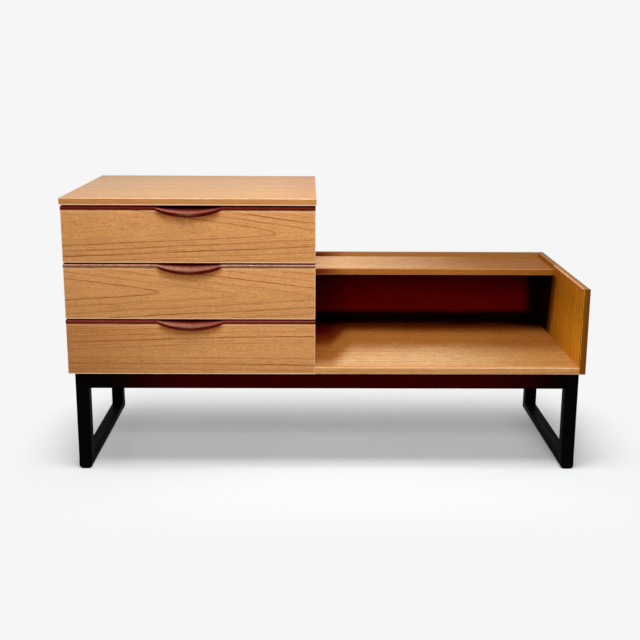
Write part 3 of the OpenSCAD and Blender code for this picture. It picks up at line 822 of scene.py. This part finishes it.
# Carcass boards: node, slot, the sides whose common edges are eased, arris, wood
carcass = [
    ("top_panel", "teak_panel", "-x+x+y+z", 1.0 * MM, "top"),
    ("top_lipping", "teak_lipping", "-x+x-y+z-z", 1.4 * MM, "lip_y"),
    ("chest_side_left", "teak_panel", "-x+y", 0.8 * MM, "side"),
    ("chest_side_right", "teak_panel", "+x", 0.8 * MM, "side"),
    ("deck_panel", "teak_panel", "-x", 0.8 * MM, "deck"),
    ("deck_lipping", "teak_lipping", "-x", 0.8 * MM, "lip_deck"),
    ("end_panel", "teak_panel", "+x+y", 0.8 * MM, "end"),
    ("end_panel_lipping", "teak_lipping", "-x", 0.8 * MM, "lip_end"),
    ("end_top_lipping_front", "teak_lipping", "", 0.8 * MM, "lip_end_top"),
    ("end_top_lipping_rear", "teak_lipping", "+y+z", 0.8 * MM, "lip_end_rear"),
    ("shelf_panel", "teak_panel", "", 0.8 * MM, "shelf"),
    ("shelf_lipping", "teak_lipping", "", 0.8 * MM, "lip_shelf"),
    ("shelf_back_rail", "teak_lipping", "+y+z", 0.8 * MM, "back_rail"),
]
for node, slot, sides, arris, key in carcass:
    dress(node, sides, arris, boards[key], arrises[key])

# Base
BASE_ARRIS = 1.2 * MM
for node in ("leg_front_left", "leg_front_right", "leg_rear_left", "leg_rear_right"):
    dress(node, "", BASE_ARRIS, black_wood)
for node in ("sled_left", "sled_right"):
    dress(node, "-x+x+z-y+y", BASE_ARRIS, black_wood_y)
for node in ("side_bar_left", "side_bar_right"):
    dress(node, "-x+x-z", BASE_ARRIS, black_wood_y)
for node in ("front_rail", "rear_rail"):
    dress(node, "-y+y-z", BASE_ARRIS, rail_wood)


# Pulls
def swell(t):
    """The pull's share of its full form, with t from -1 at its left end to 1 at its right."""
    return max(max(1 - t * t, 0.0) ** SWELL_POWER, STRIP_SHARE)


def pull_outline(h, t, strip_wear_and_shade, grip_wear_and_light, nose_wear, hollow_shade_at):
    """Outline of the pull across its length: distance back from the front, height, and its wear with
    painted light and painted shade.
    """
    grown = min(1.0, GRIP_GROWTH * (h - STRIP_SHARE) / (1 - STRIP_SHARE))
    dish_wear_and_light = strip_wear_and_shade + (grip_wear_and_light * (1 - GRIP_FADE * t) - strip_wear_and_shade) * grown
    nose_wear = nose_wear * math.exp(-((t / NOSE_REACH) ** 2))
    points = [(FRONT_T, 0.0, 0.0), (FRONT_T, -STRIP_H, 0.0), (0.0, -STRIP_H, 0.0)]
    below = STRIP_H + (PULL_FOOT - PULL_RIM) * h
    for i in range(1, UNDER_STEPS + 1):
        a = math.pi / 2 * i / UNDER_STEPS
        out, down = math.sin(a) ** UNDER_POWER, max(math.cos(a), 0.0) ** UNDER_POWER
        under_wear_and_light = out ** UNDER_WEAR_AND_LIGHT_POWER * strip_wear_and_shade * (1 - grown)
        rubbed_and_lit = max(under_wear_and_light, out ** NOSE_WEAR_POWER * nose_wear)
        rubbed_and_lit = max(rubbed_and_lit, (strip_wear_and_shade - 1) * (1 - grown))
        points.append((-PULL_OUT * h * out, -PULL_RIM * h - below * down, rubbed_and_lit))
    for i in range(HOLLOW_STEPS + 1):
        u = i / HOLLOW_STEPS
        start = PULL_RIM_W - PULL_OUT
        back = h * (start + u * (PULL_HOLLOW - start))
        wear_and_shading = dish_wear_and_light * max(0.0, min(1.0, (hollow_shade_at - u) / WEAR_AND_LIGHT_FADE))
        wear_and_shading *= 1 - RIM_DARK * grown * (1 - min(1.0, u / RIM_SHARE))
        wear_and_shading -= grown * max(0.0, min(1.0, (u - hollow_shade_at) / HOLLOW_SHADE_FADE))
        points.append((back, -h * (PULL_RIM * (1 - u) + PULL_DIP * math.sin(math.pi * u)), wear_and_shading))
    return points


def add_pull(place, wear_and_shading):
    node = place + "_drawer_pull"
    low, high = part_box(node)
    middle = (low.x + high.x) / 2
    face_y = high.y - FRONT_T
    xs = [-CHEST_W / 2] + [
        PULL_L * (i / PULL_STATIONS - 0.5) for i in range(PULL_STATIONS + 1)
    ] + [CHEST_W / 2]
    bm = bmesh.new()
    # Each point's wear, with painted light and painted shade
    worn_and_lit = bm.verts.layers.float.new("grip_wear_and_light")
    rows = []
    for x in xs:
        t = 2 * x / PULL_L
        outline = pull_outline(swell(t), t, *wear_and_shading)
        row = []
        for back, up, rubbed_and_lit in outline:
            vert = bm.verts.new((middle + x, face_y + back, high.z + up))
            vert[worn_and_lit] = rubbed_and_lit
            row.append(vert)
        rows.append(row)
    n = len(rows[0])
    for first, second in zip(rows, rows[1:]):
        for j in range(n):
            k = (j + 1) % n
            bm.faces.new((first[j], first[k], second[k], second[j]))
    bm.faces.new(list(reversed(rows[0])))
    bm.faces.new(rows[-1])
    bmesh.ops.recalc_face_normals(bm, faces=bm.faces)
    for face in bm.faces:
        face.smooth = len(face.verts) == 4
    stand_for(node, to_object(bm, node + "_carved", [pull_wood], SHARP_PULL))


def paint(node, material):
    slots = frame["nodes"][node].data.materials
    slots.clear()
    slots.append(material)


# Drawers
# How pale the strip, the grip and the middle of the nose are by wear and painted light, and where the
# painted shade of the hollow begins. The top strip is kept dark as painted shade under the top.
pull_wear_and_shading = {
    "top": (0.15, 0.7, 1.0, 0.5),
    "middle": (1.8, 0.85, 0.3, 0.78),
    "bottom": (0.35, 0.75, 0.35, 0.7),
}
FRONT_ARRIS, BOX_ARRIS = 1.3 * MM, 1.2 * MM
for place in fronts:
    dress(
        place + "_drawer_front", "-x+x-y-z", FRONT_ARRIS,
        front_wood[place], front_arris[place]
    )
    add_pull(place, pull_wear_and_shading[place])
    for side in ("side_left", "side_right"):
        dress(f"{place}_drawer_{side}", "-x+x+z", BOX_ARRIS, box_wood["Y"])
    dress(f"{place}_drawer_back", "-y+y+z", BOX_ARRIS, box_wood["X"])
    paint(f"{place}_drawer_base", ply_wood)

for side in ("left", "right"):
    for place in fronts:
        paint(f"runner_{side}_{place}", runner_wood)
for node, material in (
    ("bay_back_panel", back_wood), ("chest_back_panel", ply_back), ("corner_blocks", block_wood),
    ("carcass_dowels", dowel_wood), ("base_dowels", dowel_wood), ("back_screws", steel),
    ("base_screws", steel), ("runner_screws", brass),
):
    paint(node, material)

# Stage
PAPER = rgb(246, 246, 246)
FLOOR_RADIUS, FLOOR_SEGMENTS = 4.0, 96
# How much light it returns where it is seen and where it lights the object, and the tint that
# evens out the warm light from the wood
FLOOR_ALBEDO_SEEN, FLOOR_ALBEDO_OTHER = 0.84, 0.3
FLOOR_TONE = 1.0, 1.03, 1.055
# Where the floor keeps its shadow: axis, middle, half its extent, and how far it fades beyond that
FOOTPRINT = ("X", 0.03, 0.52, 0.32), ("Y", -0.11, 0.15, 0.42)
PAPER_SHARE_UNDER = 0.12
AMBIENT = 0.17
# Name, place, what it points at, watts, width and height, and whether it shows in gloss
LAMPS = [
    ("key", (0.06, -0.55, 1.95), (0.06, 0.0, 0.35), 26.0, (0.9, 0.7), True),
    ("fill", (0.22, -3.0, 1.75), (0.0, 0.0, 0.35), 62.0, (1.8, 1.4), True),
    ("rear", (-0.3, 3.0, 1.6), (0.0, 0.0, 0.3), 16.0, (1.8, 1.4), False),
    ("left", (-3.2, 0.3, 0.7), (-0.6, 0.0, 0.4), 20.0, (1.4, 1.0), False),
    ("right", (3.2, 0.3, 0.7), (0.6, 0.0, 0.4), 20.0, (1.4, 1.0), False),
]


def seen_rays(web):
    """1 for rays of the camera, of gloss and of glass, and 0 for the light on the object."""
    path = web.add("LightPath").outputs
    seen = web.math("MAXIMUM", path["Is Camera Ray"], path["Is Glossy Ray"])
    return web.math("MAXIMUM", seen, path["Is Transmission Ray"])


def add_world():
    world = bpy.data.worlds.new("studio")
    bpy.context.scene.world = world
    web = Web(world)
    colour = web.blend(seen_rays(web), (AMBIENT, AMBIENT, AMBIENT, 1.0), PAPER)
    background = web.add("Background", {"Color": colour})
    web.add("OutputWorld", {"Surface": background.outputs[0]})


def add_floor():
    """A pale floor. Away from the object it runs out into the backdrop's own white."""
    web = MaterialWeb("studio_floor")
    seen = seen_rays(web)
    level = web.times(seen, FLOOR_ALBEDO_SEEN - FLOOR_ALBEDO_OTHER)
    level = web.plus(level, FLOOR_ALBEDO_OTHER)
    tone = web.vector(*[web.times(level, share) for share in FLOOR_TONE])
    diffuse = web.add("BsdfDiffuse", {"Color": tone})
    paper = web.add("Emission", {"Color": PAPER, "Strength": 1.0})
    past = []
    for axis, middle, half, fade in FOOTPRINT:
        off = web.plus(web.math("ABSOLUTE", web.plus(web.axis[axis], -middle)), -half)
        past.append(web.math("POWER", web.math("MAXIMUM", web.times(off, 1 / fade), 0.0), 2.0))
    away = web.math("SQRT", web.plus(*past))
    share = web.times(seen, web.step(away, 0.0, 1.0, PAPER_SHARE_UNDER, 1.0))
    mix = web.add("MixShader", {0: share, 1: diffuse.outputs[0], 2: paper.outputs[0]})
    web.add("OutputMaterial", {"Surface": mix.outputs[0]})
    bm = bmesh.new()
    bmesh.ops.create_circle(bm, cap_ends=True, segments=FLOOR_SEGMENTS, radius=FLOOR_RADIUS)
    to_object(bm, "studio_floor", [web.owner])


def add_lamp(name, at, aim, watts, size, glossy):
    data = bpy.data.lights.new(name, "AREA")
    data.shape = "RECTANGLE"
    data.size, data.size_y = size
    data.energy = watts
    lamp = bpy.data.objects.new(name, data)
    bpy.context.scene.collection.objects.link(lamp)
    lamp.location = at
    lamp.rotation_euler = (Vector(aim) - Vector(at)).to_track_quat("-Z", "Y").to_euler()
    lamp.visible_glossy = glossy


add_world()
add_floor()
for lamp in LAMPS:
    add_lamp(*lamp)

bpy.context.scene.view_settings.view_transform = "Standard"
